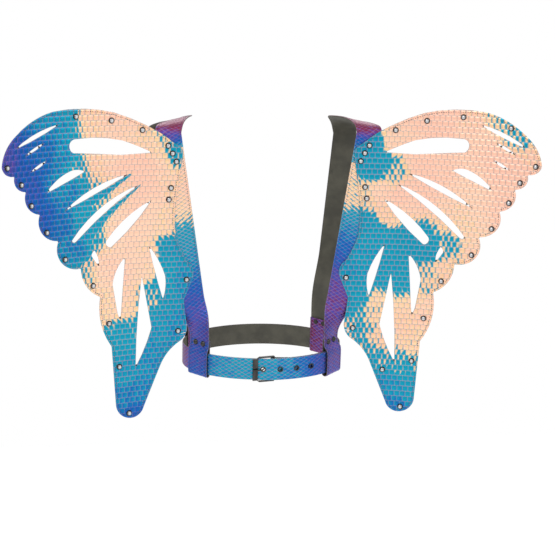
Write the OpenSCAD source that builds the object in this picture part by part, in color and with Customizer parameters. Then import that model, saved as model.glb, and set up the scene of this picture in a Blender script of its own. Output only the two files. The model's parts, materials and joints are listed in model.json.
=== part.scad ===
// Wings on a body harness: two cut leather panels folded on a pair of shoulder straps
// that hang on a buckled waist belt.
// Millimetres. +X is the wearer's right, +Y the wearer's front, +Z up.
// The origin is the middle of the waist opening, level with the sides of the belt.

/* [Wing] */
// From the fold line to the wing tip
wing_reach = 238; // [190:1:290]
// How far the tail hangs below the lower end of the root
wing_drop = 174; // [120:1:220]
// Bend radius of the panel
bend_r = 420; // [330:5:800]
// Outward lean of the root at the top, degrees
root_lean = 9; // [4:0.5:14]
// Backward lean of the root at the top, degrees
root_pitch = 9; // [4:0.5:14]
// Turn of the root towards the back, degrees
root_yaw = 4; // [0:0.5:12]

/* [Harness] */
// Width of the waist opening, belt middle to belt middle
waist_w = 256; // [200:1:330]
// Depth of the waist opening, belt middle to belt middle
waist_d = 188; // [140:1:240]
// Tilt of the belt, low at the back, degrees
belt_tilt = 10; // [0:0.5:14]
// Height of the belt strip
belt_h = 35; // [28:0.5:42]
// Height of the top of the wing root above the waist
root_z = 324; // [280:1:400]
// Half distance between the fold lines at the top of the roots
root_x = 170.7; // [140:0.5:210]
// Distance of the top of the roots behind the waist middle
root_y = 105; // [85:0.5:130]
// Height of the shoulder crest above the waist
crest_z = 378; // [330:1:460]
// Half distance between the straps at the crest
crest_x = 131; // [100:0.5:170]
// Width of the shoulder straps
strap_w = 40; // [32:0.5:46]

/* [Leather] */
// Thickness of each leather layer
skin_t = 0.9; // [0.7:0.05:1.2]
// Thickness of the stiffening board
board_t = 1; // [0.6:0.05:1.6]
// Air between layers
lay = 0.1; // [0.05:0.01:0.2]
// Half width of the fold between root and panel
fold = 1.4; // [1.2:0.1:2.5]

/* [Metal] */
// Diameter of the rivet domes
dome_d = 9.5; // [7:0.1:11]
// Height of the rivet domes
dome_h = 3.2; // [2:0.1:4]
// Diameter of the heel bar
heel_d = 3.4; // [2.8:0.1:4.2]
// Diameter of the prong
prong_d = 2.2; // [1.8:0.1:2.8]
// Outside diameter of the belt eyelets
eye_d = 9; // [8:0.1:11]

/* [Hidden] */
hinge_u = 3.6;
ku = (wing_reach) / 238;
kd = (wing_drop) / 174;
v_low = -236;
v_free = -292;
t1 = skin_t;
post_d = 2.4;
hole_d = 2.8;
back_d = 7.6;
wa = waist_w / 2;
wb = waist_d / 2;
L0 = lay;
L1 = lay + t1;
B0 = L1 + lay;
B1 = B0 + board_t;
F0 = B1 + lay;
F1 = F0 + t1;
R0 = L1 + lay;
R1 = R0 + t1;
strap_in = 2 * t1 + lay;
tail_r = 2 * t1 + 1.1;

// ---- plane outlines -------------------------------------------------------
// Rows are [u, v, bulge]: across from the strap edge, up from the root top, and
// the tangent of a quarter of the arc to the next row, positive outwards.

OUTLINE = [
  [-36, 0, 0], [-9, 28, 0.06], [60, 73, 0.1], [152, 92, 0.14], [212, 70, 0.2],
  [241.6, 30, 0.42], [225, 12, 0.5], [212, -15, 0.48], [197, -54, 0.53],
  [175, -101, 0.6], [148, -152, 0.3], [125, -204, 0.2], [119.5, -287, 0],
  [127, -380, 0.4], [107, -410, 0.35], [84, -398, 0], [47, -336, -0.15],
  [12, -304, 0.28], [-4, -281, 0], [-5, -238, 0], [-26, -203, 0.3],
  [-19, -178, -0.05], [-7, -137, -0.07], [-15, -77, 0], [-34, -15, 0.1]];

CUTS = [
  [[10, 2, 0.03], [54, 29, 0.085], [124, 44.5, 0.45], [136, 36, 0.25],
   [132, 24.5, 0], [59, 7, 0]],
  [[145, 72, 0.13], [219, 50, 0.06]],
  [[172, 49.5, 0.14], [205, 36.5, 0.1]],
  [[173, 23, 0.12], [201, 11.5, 0.17]],
  [[118, -7, 0.2], [139, -1, 0.12], [172, -16, 0.15], [181, -25.5, 0.02]],
  [[51.5, -24, 0.14], [160, -59.5, 0.035]],
  [[37, -43, 0.155], [156, -107, 0.4], [150, -110.5, -0.043]],
  [[21.5, -70, 0.12], [102, -119, 0.6], [96, -131.5, 0.075]],
  [[119.5, -156, 0.05], [118.5, -144, 0.05], [123, -129, 0.1], [129, -136.5, 0.05]],
  [[79, -152.5, 0.15], [103, -189, 0], [102.5, -231, 0.1], [99, -249, 0], [78, -157, 0.3]],
  [[37.5, -141, 0.02], [27.5, -231, 0.12], [18.5, -194, 0.09]],
  [[55, -185, 0.03], [87, -331, 0.06], [52, -273, 0]]];

WING_RIVETS = [[119, 78], [66, 62], [21, 39.5], [233.5, 27], [217, -3], [207.5, -37.5],
  [191, -83.5], [170, -131.5], [133.5, -183.5], [118, -249], [112.5, -322],
  [108.5, -401], [11, -286]];
EXTRA_RIVETS = [[190, 76], [70, -346]];
ROOT_RIVETS = [[-15, 9], [-20, -4], [-24, -17.5], [-10, -57], [-4.2, -74.5], [-14, -206]];

function across(u) = u > hinge_u ? hinge_u + (u - hinge_u) * ku : u;
function down(v) = v < v_low ? v_low + (v - v_low) * kd : v;
function at(q) = [across(q[0]), down(q[1])];

// Points of the arc from p to q with the given bulge, without q.
function arc_pts(p, q, b) = abs(b) < 0.001 ? [p] :
  let(m = (p + q) / 2, half = norm(q - p) / 2, d = (q - p) / (2 * half), s = b * half)
  let(r = (half * half + s * s) / (2 * s), o = [-d[1], d[0]], c = m - o * (r - s))
  let(w = 2 * atan(b), n = max(2, ceil(abs(w) / 3.5)))
  [for (i = [0 : n - 1]) let(a = -w + 2 * w * i / n) c + r * (o * cos(a) + d * sin(a))];

function loop_pts(rows) = [for (i = [0 : len(rows) - 1])
  each arc_pts(at(rows[i]), at(rows[(i + 1) % len(rows)]), rows[i][2])];

module wing_plan() {
  difference() {
    polygon(loop_pts(OUTLINE));
    for (c = CUTS) polygon(loop_pts(c));
  }
}

// ---- placing --------------------------------------------------------------

module right_wing_frame() {
  translate([root_x, -root_y, root_z])
    rotate([90 + root_pitch, root_lean, -root_yaw])
      children();
}

module left_wing_frame() {
  mirror([1, 0, 0])
    right_wing_frame()
      children();
}

function lift(u) = u <= hinge_u ? 0 : bend_r - sqrt(bend_r * bend_r - (u - hinge_u) * (u - hinge_u));
function tilt(u) = u <= hinge_u ? 0 : asin((u - hinge_u) / bend_r);

// Stands an upright part on the panel or root at plan point q.
module on_panel(q) {
  p = at(q);
  translate([p[0], p[1], lift(p[0])])
    rotate([0, -tilt(p[0]), 0])
      children();
}

module panel_shell(a, b) {
  intersection() {
    translate([hinge_u, 200, bend_r])
      rotate([90, 0, 0])
        difference() {
          cylinder(r = bend_r - a, h = 800, $fn = 180);
          translate([0, 0, -1])
            cylinder(r = bend_r - b, h = 802, $fn = 180);
        }
    translate([hinge_u - 30, -700, -5])
      cube([340, 900, 190]);
  }
}

module free_part(a, b, list) {
  difference() {
    intersection() {
      panel_shell(a, b);
      translate([0, 0, -4])
        linear_extrude(180)
          intersection() {
            wing_plan();
            union() {
              translate([hinge_u + fold, -700])
                square([400, 900]);
              translate([-20, -700])
                square([60, 700 + down(v_free) - 2]);
            }
          }
    }
    for (q = list)
      on_panel(q)
        translate([0, 0, -5])
          cylinder(d = hole_d, h = 16, $fn = 24);
  }
}

module root_part(a, b) {
  difference() {
    translate([0, 0, a])
      linear_extrude(b - a)
        intersection() {
          wing_plan();
          translate([-60, down(v_free) + 2])
            square([60 + hinge_u - fold, 500]);
        }
    for (q = ROOT_RIVETS)
      on_panel(q)
        translate([0, 0, -5])
          cylinder(d = hole_d, h = 16, $fn = 24);
  }
}

// ---- rivets ---------------------------------------------------------------
// Underside of the dome at z = top, inside face of the back disc at z = bottom.

module rivet_cap(top, bottom) {
  r = (dome_d * dome_d / 4 + dome_h * dome_h) / (2 * dome_h);
  union() {
    intersection() {
      translate([0, 0, top + dome_h - r])
        sphere(r = r, $fn = 48);
      translate([0, 0, top])
        cylinder(d = dome_d, h = dome_h + 1, $fn = 48);
    }
    translate([0, 0, bottom - 0.5])
      cylinder(d = post_d, h = top - bottom + 1.2, $fn = 24);
  }
}

module rivet_back(bottom) {
  difference() {
    translate([0, 0, bottom - 1])
      cylinder(d = back_d, h = 1, $fn = 36);
    translate([0, 0, bottom - 0.6])
      cylinder(d = post_d + 0.2, h = 1, $fn = 24);
  }
}

// ---- straps ---------------------------------------------------------------

EU = [cos(root_lean) * cos(root_yaw), -cos(root_lean) * sin(root_yaw), -sin(root_lean)];
VX = cos(root_pitch) * sin(root_lean);
VY = -sin(root_pitch);
VZ = cos(root_pitch) * cos(root_lean);
EV = [VX * cos(root_yaw) + VY * sin(root_yaw), -VX * sin(root_yaw) + VY * cos(root_yaw), VZ];
O = [root_x, -root_y, root_z];
mid_u = 2 - strap_w / 2;
function on_run(v) = O + EU * mid_u + EV * v;

// Belt middle line at angle f from the middle of the back, moved out by r.
function rim(f, r) = let(n = [wb * sin(f), -wa * cos(f)], k = norm(n))
  [wa * sin(f), -wb * cos(f)] + n * r / k;
function tip(p) = [p[0], p[1] * cos(belt_tilt) - p[2] * sin(belt_tilt),
  p[1] * sin(belt_tilt) + p[2] * cos(belt_tilt)];
function rim3(f, r, z) = let(p = rim(f, r)) tip([p[0], p[1], z]);

loop_f = 57;
function rim_dir(f) = let(t = [wa * cos(f), wb * sin(f), 0]) tip(t / norm(t));

function mixv(a, b, t) = a * (1 - t) + b * t;
function bez(a, b, c, d, t) = a * pow(1 - t, 3) + b * 3 * t * pow(1 - t, 2)
  + c * 3 * t * t * (1 - t) + d * pow(t, 3);
function unit(v) = v / norm(v);

// How far the belt bows away from a flat leaf as wide as the strap.
bow_r = pow(pow(wa * cos(loop_f), 2) + pow(wb * sin(loop_f), 2), 1.5) / (wa * wb);
bow = strap_w * strap_w / (8 * bow_r);

// Depths from the belt middle line: the leaf inside the belt, the leaf outside it, the
// leaf outside the doubled belt, and the outer leaf where the rivets pull both together.
loop_out = 1.5 * lay + 3 * t1 + 0.2;
loop_in = -(loop_out + bow + 0.3);
loop_out_tail = loop_out + tail_r + 0.2;
pinch = loop_in + 4 * t1 + 3 * lay + 0.1;

// Loop round the belt: inner leaf, turn below the belt, outer leaf. Each station
// is [point of the outer surface middle, width direction]. sy = 1 back, -1 front.
function loop_st(f, far, rin, rout) = let(h = belt_h / 2, rc = (rin + rout) / 2, rr = (rout - rin) / 2)
  let(B = rim_dir(f))
  concat(
    [[rim3(f, rin + far, h + 20), B], [rim3(f, rin + far, h + 10), B],
     [rim3(f, rin + far / 2, h + 4), B], [rim3(f, rin, h - 2), B], [rim3(f, rin, -h * 0.4), B]],
    [for (i = [0 : 8]) let(a = 180 + i * 22.5) [rim3(f, rc + rr * cos(a), -h - 1 + rr * sin(a)), B]],
    [[rim3(f, rout, -h * 0.4), B], [rim3(f, rout, h + 0.5), B], [rim3(f, (rout + pinch) / 2, h + 4.5), B],
     [rim3(f, pinch, h + 9), B], [rim3(f, pinch, h + 20), B]]);

function flip_y(s) = [for (i = [len(s) - 1 : -1 : 0]) [[s[i][0][0], -s[i][0][1], s[i][0][2]],
  [s[i][1][0], -s[i][1][1], s[i][1][2]]]];

function up_run(f) = let(h = belt_h / 2, a = rim3(f, pinch, h + 20), ta = tip([0, 0, 1]))
  let(d = on_run(v_low + 2), B0 = rim_dir(f), g = norm(d - a) / 3)
  concat(
    [for (i = [1 : 11]) let(t = i / 12) [bez(a, a + ta * g, d - EV * g, d, t),
      mixv(B0, EU, t * t * (3 - 2 * t))]],
    [for (v = [v_low + 2 : 43 : 20]) [on_run(v), EU]],
    [[on_run(24), EU]]);

function over() = let(a = on_run(24), d = [crest_x, 0, crest_z], g = (crest_z - a[2]) * 0.95)
  let(E = [cos(15), 0, -sin(15)])
  [for (i = [1 : 14]) let(t = i / 14)
    [bez(a, a + EV * g, d - [-4, 62, 0], d, t), mixv(EU, E, t)]];

// Far loop sits where the belt is high in front, so its own height differs.
function far_down(f) = let(h = belt_h / 2, a = rim3(180 - f, pinch, h + 20), ta = tip([0, 0, 1]))
  let(q = on_run(v_low + 60), d = [q[0], -q[1], q[2]], B0 = rim_dir(180 - f), g = norm(d - a) / 3)
  let(E = [EU[0], -EU[1], EU[2]], W = [EV[0], -EV[1], EV[2]])
  [for (i = [1 : 11]) let(t = i / 12) [bez(a, a + ta * g, d - W * g, d, t),
    mixv(-B0, E, t * t * (3 - 2 * t))]];

function strap_path(rin, rout) =
  let(back = loop_st(loop_f, -0.1, rin, rout), top = over(), run = up_run(loop_f))
  let(front0 = loop_st(180 - loop_f, -0.1, loop_in, loop_out))
  let(front = [for (s = front0) [s[0], -s[1]]], down0 = far_down(loop_f))
  let(rise = [for (v = [v_low + 60 : 39 : 20]) let(p = on_run(v)) [[p[0], -p[1], p[2]], [EU[0], -EU[1], EU[2]]]])
  let(half = concat(back, run, top))
  let(q = on_run(24), rest = concat(front, down0, rise, [[[q[0], -q[1], q[2]], [EU[0], -EU[1], EU[2]]]]))
  let(over2 = [for (i = [len(top) - 2 : -1 : 0]) [[top[i][0][0], -top[i][0][1], top[i][0][2]],
    [top[i][1][0], -top[i][1][1], top[i][1][2]]]])
  concat(half, over2, [for (i = [len(rest) - 1 : -1 : 0]) rest[i]]);

// Closed strip along the stations between depths a and b below the outer surface.
module strip(st, w, a, b) {
  n = len(st);
  T = [for (i = [0 : n - 1]) unit(st[min(i + 1, n - 1)][0] - st[max(i - 1, 0)][0])];
  W = [for (i = [0 : n - 1]) unit(st[i][1] - T[i] * (st[i][1] * T[i]))];
  N = [for (i = [0 : n - 1]) cross(W[i], T[i])];
  pts = [for (i = [0 : n - 1]) each [
    st[i][0] - W[i] * w / 2 - N[i] * a, st[i][0] + W[i] * w / 2 - N[i] * a,
    st[i][0] + W[i] * w / 2 - N[i] * b, st[i][0] - W[i] * w / 2 - N[i] * b]];
  tri = [for (i = [0 : n - 2]) for (k = [0 : 3]) let(p = 4 * i + k, q = 4 * i + (k + 1) % 4)
    each (k == 2 ? [[p, q, p + 4], [q, q + 4, p + 4]] : [[p, q, q + 4], [p, q + 4, p + 4]])];
  e = 4 * (n - 1);
  polyhedron(points = pts, faces = concat(tri,
    [[0, 3, 2], [0, 2, 1], [e, e + 1, e + 2], [e, e + 2, e + 3]]));
}

loop_holes = [-8, 8];

// Frame at a loop, z outwards from the belt, origin at the rivet height.
module at_loop(f, r) {
  rotate([belt_tilt, 0, 0])
    translate([rim(f, r)[0], rim(f, r)[1], belt_h / 2 + 14])
      rotate([0, 0, atan2(-wa * cos(f), wb * sin(f))])
        rotate([0, 90, 0])
          children();
}

module loop_holes_at(f, s) {
  for (k = loop_holes)
    at_loop(f, 0)
      translate([0, k, -10])
        cylinder(d = hole_d, h = 24, $fn = 24);
}

module strap_right(a, b, rout) {
  difference() {
    strip(strap_path(loop_in, rout), strap_w, a, b);
    loop_holes_at(loop_f, 1);
    loop_holes_at(180 - loop_f, 1);
    right_wing_frame()
      for (q = ROOT_RIVETS)
        translate([q[0], q[1], -6])
          cylinder(d = hole_d, h = 12, $fn = 24);
  }
}

// ---- belt -----------------------------------------------------------------

heel_f = 2.95;
heel_r = -(heel_d / 2 + t1 + 0.15);
turn_r = -(2 * t1 + 0.2);
chape_cap = -(3 * t1 + 1.5);
fold_f = 14;
tail_end_f = 420;
HEEL = rim(heel_f, heel_r);

function ease(t) = t <= 0 ? 0 : t >= 1 ? 1 : t * t * (3 - 2 * t);
function belt_r(f) = tail_r * ease((f - 351) / 11);

// Middle line of the whole strip: turned end, turn round the heel bar, once round
// the waist and over itself as the tail.
function belt_line() = let(k = abs(heel_r) + 0.05, c = HEEL)
  concat(
    [for (i = [0 : 6]) let(t = i / 6) rim(fold_f - (fold_f - heel_f) * t,
      turn_r + (heel_r - k - turn_r) * ease(t))],
    [for (i = [1 : 8]) let(a = 90 + i * 20) c + k * [cos(a), sin(a)]],
    [for (f = [heel_f : 3.5 : tail_end_f]) rim(f, 0.05 + belt_r(f))]);

module belt_strip(a, b) {
  P = belt_line();
  n = len(P);
  T = [for (i = [0 : n - 1]) let(d = P[min(i + 1, n - 1)] - P[max(i - 1, 0)]) d / norm(d)];
  N = [for (t = T) [t[1], -t[0]]];
  polygon(concat([for (i = [0 : n - 1]) P[i] + N[i] * a],
    [for (i = [n - 1 : -1 : 0]) P[i] + N[i] * b]));
}

EYES = [-8.8, 18, 44, 68];
CHAPE_Z = [-10, 10];
CHAPE_X = 26.5;

module out_from_belt(x, z, r) {
  f = asin(x / wa);
  translate([rim(f, r)[0], rim(f, r)[1], z])
    rotate([0, 0, atan2(-wa * cos(f), wb * sin(f))])
      rotate([0, 90, 0])
        children();
}

function tail_at(x) = belt_r(360 + asin(x / wa));
function tail_turn(x) = let(f = 360 + asin(x / wa))
  atan2(belt_r(f + 0.5) - belt_r(f - 0.5), norm(rim(f + 0.5, 0) - rim(f - 0.5, 0)));

module belt_layer(a, b) {
  rotate([belt_tilt, 0, 0])
    difference() {
      translate([0, 0, -belt_h / 2])
        linear_extrude(belt_h)
          belt_strip(a, b);
      for (x = EYES)
        out_from_belt(x, 0, x < 0 ? -1.5 : 1.3)
          cylinder(d = 6.9, h = 8, $fn = 30);
      for (z = CHAPE_Z)
        out_from_belt(CHAPE_X, z, -7)
          cylinder(d = hole_d, h = 8.2, $fn = 24);
      translate([HEEL[0] - 7, HEEL[1] - 3.35, -3.4])
        cube([12, 9, 6.8]);
    }
}

module belt_face() {
  color([0.1, 0.6, 0.66])
    belt_layer(0.05, 0.05 + t1);
}

module belt_lining() {
  color([0.32, 0.31, 0.26])
    belt_layer(-0.05 - t1, -0.05);
}

module belt_eyelets() {
  color([0.3, 0.3, 0.31])
    rotate([belt_tilt, 0, 0])
      for (x = EYES)
        out_from_belt(x, 0, 0.05 + tail_at(x))
          rotate([tail_turn(x), 0, 0])
            difference() {
              union() {
                translate([0, 0, t1 + 0.14])
                  cylinder(d = eye_d, h = 0.6, $fn = 36);
                translate([0, 0, -t1 - 0.3])
                  cylinder(d = 6.7, h = 2 * t1 + 0.5, $fn = 36);
                translate([0, 0, -t1 - 0.74])
                  cylinder(d = eye_d, h = 0.5, $fn = 36);
              }
              translate([0, 0, -4])
                cylinder(d = 5.7, h = 10, $fn = 36);
            }
}

module chape_rivet_caps() {
  color([0.3, 0.3, 0.31])
    rotate([belt_tilt, 0, 0])
      for (z = CHAPE_Z)
        out_from_belt(CHAPE_X, z, 0)
          union() {
            translate([0, 0, chape_cap])
              rotate([180, 0, 0])
                cylinder(d = 7, h = 0.9, $fn = 36);
            translate([0, 0, chape_cap - 0.1])
              cylinder(d = post_d, h = t1 - chape_cap, $fn = 24);
          }
}

module chape_rivet_backs() {
  color([0.3, 0.3, 0.31])
    rotate([belt_tilt, 0, 0])
      for (z = CHAPE_Z)
        out_from_belt(CHAPE_X, z, t1 + 0.15)
          difference() {
            cylinder(d = 6.6, h = 0.6, $fn = 36);
            translate([0, 0, -1])
              cylinder(d = post_d + 0.2, h = 3, $fn = 24);
          }
}

// ---- strap nodes ----------------------------------------------------------

module strap_right_face() {
  color([0.86, 0.6, 0.52])
    strap_right(0, t1, loop_out_tail);
}

module strap_right_lining() {
  color([0.32, 0.31, 0.26])
    strap_right(t1 + lay, 2 * t1 + lay, loop_out_tail);
}

module strap_left_face() {
  color([0.86, 0.6, 0.52])
    mirror([1, 0, 0])
      strap_right(0, t1, loop_out);
}

module strap_left_lining() {
  color([0.32, 0.31, 0.26])
    mirror([1, 0, 0])
      strap_right(t1 + lay, 2 * t1 + lay, loop_out);
}

module loop_rivet_caps() {
  color([0.3, 0.3, 0.31]) {
    for (k = loop_holes) {
      at_loop(loop_f, 0)
        translate([0, k, 0])
          rivet_cap(pinch + 0.1, loop_in - 0.1);
      at_loop(180 - loop_f, 0)
        translate([0, k, 0])
          rivet_cap(pinch + 0.1, loop_in - 0.1);
      mirror([1, 0, 0])
        at_loop(loop_f, 0)
          translate([0, k, 0])
            rivet_cap(pinch + 0.1, loop_in - 0.1);
      mirror([1, 0, 0])
        at_loop(180 - loop_f, 0)
          translate([0, k, 0])
            rivet_cap(pinch + 0.1, loop_in - 0.1);
    }
  }
}

module loop_rivet_backs() {
  color([0.3, 0.3, 0.31])
    for (k = loop_holes)
      for (f = [loop_f, 180 - loop_f])
        for (m = [0, 1])
          mirror([m, 0, 0])
            at_loop(f, 0)
              translate([0, k, 0])
                rivet_back(loop_in - 0.1);
}

// ---- wing nodes -----------------------------------------------------------

module root_caps() {
  for (q = ROOT_RIVETS)
    on_panel(q)
      rivet_cap(R1 + 0.05, -strap_in - 0.1);
}

module root_backs() {
  for (q = ROOT_RIVETS)
    on_panel(q)
      rivet_back(-strap_in - 0.1);
}

module panel_caps(list) {
  for (q = list)
    on_panel(q)
      rivet_cap(F1 + 0.1, L0 - 0.1);
}

module panel_backs(list) {
  for (q = list)
    on_panel(q)
      rivet_back(L0 - 0.1);
}

right_list = concat(WING_RIVETS, EXTRA_RIVETS);
left_list = WING_RIVETS;

module root_right_face() {
  color([0.86, 0.6, 0.52])
    right_wing_frame()
      root_part(R0, R1);
}

module root_right_lining() {
  color([0.32, 0.31, 0.26])
    right_wing_frame()
      root_part(L0, L1);
}

module root_right_rivet_caps() {
  color([0.3, 0.3, 0.31])
    right_wing_frame()
      root_caps();
}

module root_right_rivet_backs() {
  color([0.3, 0.3, 0.31])
    right_wing_frame()
      root_backs();
}

module root_left_face() {
  color([0.86, 0.6, 0.52])
    left_wing_frame()
      root_part(R0, R1);
}

module root_left_lining() {
  color([0.32, 0.31, 0.26])
    left_wing_frame()
      root_part(L0, L1);
}

module root_left_rivet_caps() {
  color([0.3, 0.3, 0.31])
    left_wing_frame()
      root_caps();
}

module root_left_rivet_backs() {
  color([0.3, 0.3, 0.31])
    left_wing_frame()
      root_backs();
}

module wing_right_face() {
  color([0.9, 0.68, 0.58])
    right_wing_frame()
      free_part(F0, F1, right_list);
}

module wing_right_board() {
  color([0.25, 0.24, 0.22])
    right_wing_frame()
      free_part(B0, B1, right_list);
}

module wing_right_lining() {
  color([0.32, 0.31, 0.26])
    right_wing_frame()
      free_part(L0, L1, right_list);
}

module wing_right_rivet_caps() {
  color([0.3, 0.3, 0.31])
    right_wing_frame()
      panel_caps(right_list);
}

module wing_right_rivet_backs() {
  color([0.3, 0.3, 0.31])
    right_wing_frame()
      panel_backs(right_list);
}

module wing_left_face() {
  color([0.9, 0.68, 0.58])
    left_wing_frame()
      free_part(F0, F1, left_list);
}

module wing_left_board() {
  color([0.25, 0.24, 0.22])
    left_wing_frame()
      free_part(B0, B1, left_list);
}

module wing_left_lining() {
  color([0.32, 0.31, 0.26])
    left_wing_frame()
      free_part(L0, L1, left_list);
}

module wing_left_rivet_caps() {
  color([0.3, 0.3, 0.31])
    left_wing_frame()
      panel_caps(left_list);
}

module wing_left_rivet_backs() {
  color([0.3, 0.3, 0.31])
    left_wing_frame()
      panel_backs(left_list);
}

// ---- buckle ---------------------------------------------------------------
// Frame axes: x from the heel bar towards the front bar, y along the bars (up),
// z out of the frame plane.

front_d = 28.6;
frame_h = belt_h + 7;
frame_tilt = 10.5;
frame_t = 2.6;

module buckle_axes() {
  rotate([belt_tilt, 0, 0])
    translate([HEEL[0], HEEL[1], 0])
      rotate([0, 0, frame_tilt])
        rotate([90, 0, 0])
          mirror([1, 0, 0])
            children();
}

module buckle_frame() {
  color([0.3, 0.3, 0.31])
    buckle_axes()
      union() {
        translate([0, 0, -frame_t / 2])
          linear_extrude(frame_t)
            difference() {
              union() {
                intersection() {
                  translate([10, 0])
                    circle(r = frame_h / 2 + 3, $fn = 96);
                  translate([-3, -frame_h / 2])
                    square([front_d + 7, frame_h]);
                }
                translate([front_d - 4, -frame_h / 2 + 3])
                  square([8, frame_h - 6]);
              }
              translate([-6, -belt_h / 2 - 0.9])
                square([front_d + 2, belt_h + 1.8]);
            }
        translate([0, -belt_h / 2 - 2, 0])
          rotate([-90, 0, 0])
            cylinder(d = heel_d, h = belt_h + 4, $fn = 36);
        translate([front_d, -frame_h / 2 + 4, 0])
          rotate([-90, 0, 0])
            cylinder(d = 3.4, h = frame_h - 8, $fn = 36);
      }
}

module rod(a, b, d) {
  v = b - a;
  translate([a[0], 0, a[1]])
    rotate([0, atan2(v[0], v[1]), 0])
      cylinder(d = d, h = norm(v), $fn = 24);
}

module buckle_prong() {
  color([0.34, 0.34, 0.35])
    buckle_axes()
      union() {
        difference() {
          translate([0, -2.6, 0])
            rotate([-90, 0, 0])
              cylinder(d = heel_d + 3, h = 5.2, $fn = 36);
          translate([0, -4, 0])
            rotate([-90, 0, 0])
              cylinder(d = heel_d + 0.2, h = 8, $fn = 36);
        }
        rod([2.6, -0.6], [13.3, -1.8], prong_d);
        translate([13.3, 0, -1.8])
          sphere(d = prong_d + 0.14, $fn = 24);
        rod([13.3, -1.8], [18.2, 4.6], prong_d);
        translate([18.2, 0, 4.6])
          sphere(d = prong_d + 0.14, $fn = 24);
        rod([18.2, 4.6], [front_d + 2.5, 2.95], prong_d);
        translate([front_d + 2.5, 0, 2.95])
          sphere(d = prong_d + 0.14, $fn = 24);
      }
}

// ---- drawing --------------------------------------------------------------

belt_face();
belt_lining();
chape_rivet_caps();
chape_rivet_backs();
belt_eyelets();
strap_right_face();
strap_right_lining();
strap_left_face();
strap_left_lining();
loop_rivet_caps();
loop_rivet_backs();
root_right_face();
root_right_lining();
root_right_rivet_caps();
root_right_rivet_backs();
root_left_face();
root_left_lining();
root_left_rivet_caps();
root_left_rivet_backs();
wing_right_face();
wing_right_board();
wing_right_lining();
wing_right_rivet_caps();
wing_right_rivet_backs();
wing_left_face();
wing_left_board();
wing_left_lining();
wing_left_rivet_caps();
wing_left_rivet_backs();
buckle_frame();
buckle_prong();
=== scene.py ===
"""Wings on a body harness: cut panels of scale-embossed foil leather, folded on two
shoulder straps that hang on a buckled waist belt.

Wing plan: u runs outwards from the strap's outer edge, v up, n out of the sheet,
all in millimetres. The left side is the right side mirrored in x.
"""

import json
import math

import bmesh
import bpy
import numpy as np
from bpy.props import FloatProperty, FloatVectorProperty, PointerProperty
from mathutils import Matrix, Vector

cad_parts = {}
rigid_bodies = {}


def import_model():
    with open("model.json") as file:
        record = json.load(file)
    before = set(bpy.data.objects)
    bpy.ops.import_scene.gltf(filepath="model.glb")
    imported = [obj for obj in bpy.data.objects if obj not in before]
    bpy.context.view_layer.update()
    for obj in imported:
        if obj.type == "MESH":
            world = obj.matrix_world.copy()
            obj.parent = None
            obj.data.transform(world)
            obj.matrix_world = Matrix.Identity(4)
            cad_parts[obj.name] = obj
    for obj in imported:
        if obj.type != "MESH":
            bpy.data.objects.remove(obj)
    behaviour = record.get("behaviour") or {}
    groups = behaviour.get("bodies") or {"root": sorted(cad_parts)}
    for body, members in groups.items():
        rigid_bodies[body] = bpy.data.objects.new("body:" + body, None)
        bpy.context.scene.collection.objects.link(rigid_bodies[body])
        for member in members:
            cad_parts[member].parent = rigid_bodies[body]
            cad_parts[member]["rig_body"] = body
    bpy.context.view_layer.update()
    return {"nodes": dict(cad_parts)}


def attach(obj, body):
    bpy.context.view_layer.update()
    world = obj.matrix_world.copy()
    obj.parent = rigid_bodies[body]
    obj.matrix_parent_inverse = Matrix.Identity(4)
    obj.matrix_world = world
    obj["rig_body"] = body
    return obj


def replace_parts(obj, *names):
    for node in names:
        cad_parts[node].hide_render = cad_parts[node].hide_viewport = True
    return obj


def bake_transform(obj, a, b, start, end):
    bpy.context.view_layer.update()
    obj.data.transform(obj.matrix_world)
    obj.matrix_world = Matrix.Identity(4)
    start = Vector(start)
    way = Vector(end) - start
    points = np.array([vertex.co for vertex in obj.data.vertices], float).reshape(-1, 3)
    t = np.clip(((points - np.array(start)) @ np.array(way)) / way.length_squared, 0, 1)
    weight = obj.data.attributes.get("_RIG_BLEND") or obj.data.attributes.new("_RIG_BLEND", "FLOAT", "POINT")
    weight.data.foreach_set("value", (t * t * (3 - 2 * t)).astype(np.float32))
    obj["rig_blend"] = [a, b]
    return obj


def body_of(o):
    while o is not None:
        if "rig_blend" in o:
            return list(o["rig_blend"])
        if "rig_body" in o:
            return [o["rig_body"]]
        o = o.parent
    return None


bl_info = {
    "name": "Harness Wings",
    "version": (1, 0, 0),
    "blender": (4, 5, 0),
    "location": "View3D > Sidebar > Wings",
    "description": "Foil leather wings on a belted shoulder harness",
    "category": "Add Mesh",
}

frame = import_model()
MM = 0.001


# ---- sizes and colours ---------------------------------------------------------


def length(name, text, value):
    return FloatProperty(name=name, description=text, default=value, unit="LENGTH",
                         precision=5)


def paint(name, text, rgb):
    """A colour given as display values from 0 to 255, kept as linear light."""
    c = [x / 255.0 for x in rgb]
    c = [x / 12.92 if x < 0.04045 else ((x + 0.055) / 1.055) ** 2.4 for x in c]
    return FloatVectorProperty(name=name, description=text, default=c, size=3,
                               subtype="COLOR", min=0.0, max=1.0)


class WingSizes(bpy.types.PropertyGroup):
    scale: length("Wing scale", "Side of one embossed scale on the wings", 0.0086)
    relief: length("Relief", "Height of a scale above its groove", 0.0003)
    net_long: length("Net length", "Long diagonal of a cell of the strap net", 0.0104)
    net_short: length("Net width", "Short diagonal of a cell of the strap net", 0.0062)
    skin: length("Leather", "Thickness of the foil leather", 0.0009)
    lining: length("Lining", "Thickness of the lining leather", 0.0009)
    stitch: length("Stitch", "Length of one stitch with its gap", 0.0037)
    inset: length("Stitch inset", "Distance of a stitch line from the edge", 0.0032)
    thread: length("Thread", "Diameter of the sewing thread", 0.0009)
    bend: length("Panel bend", "Bend radius of the wing panels", 0.42)


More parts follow.
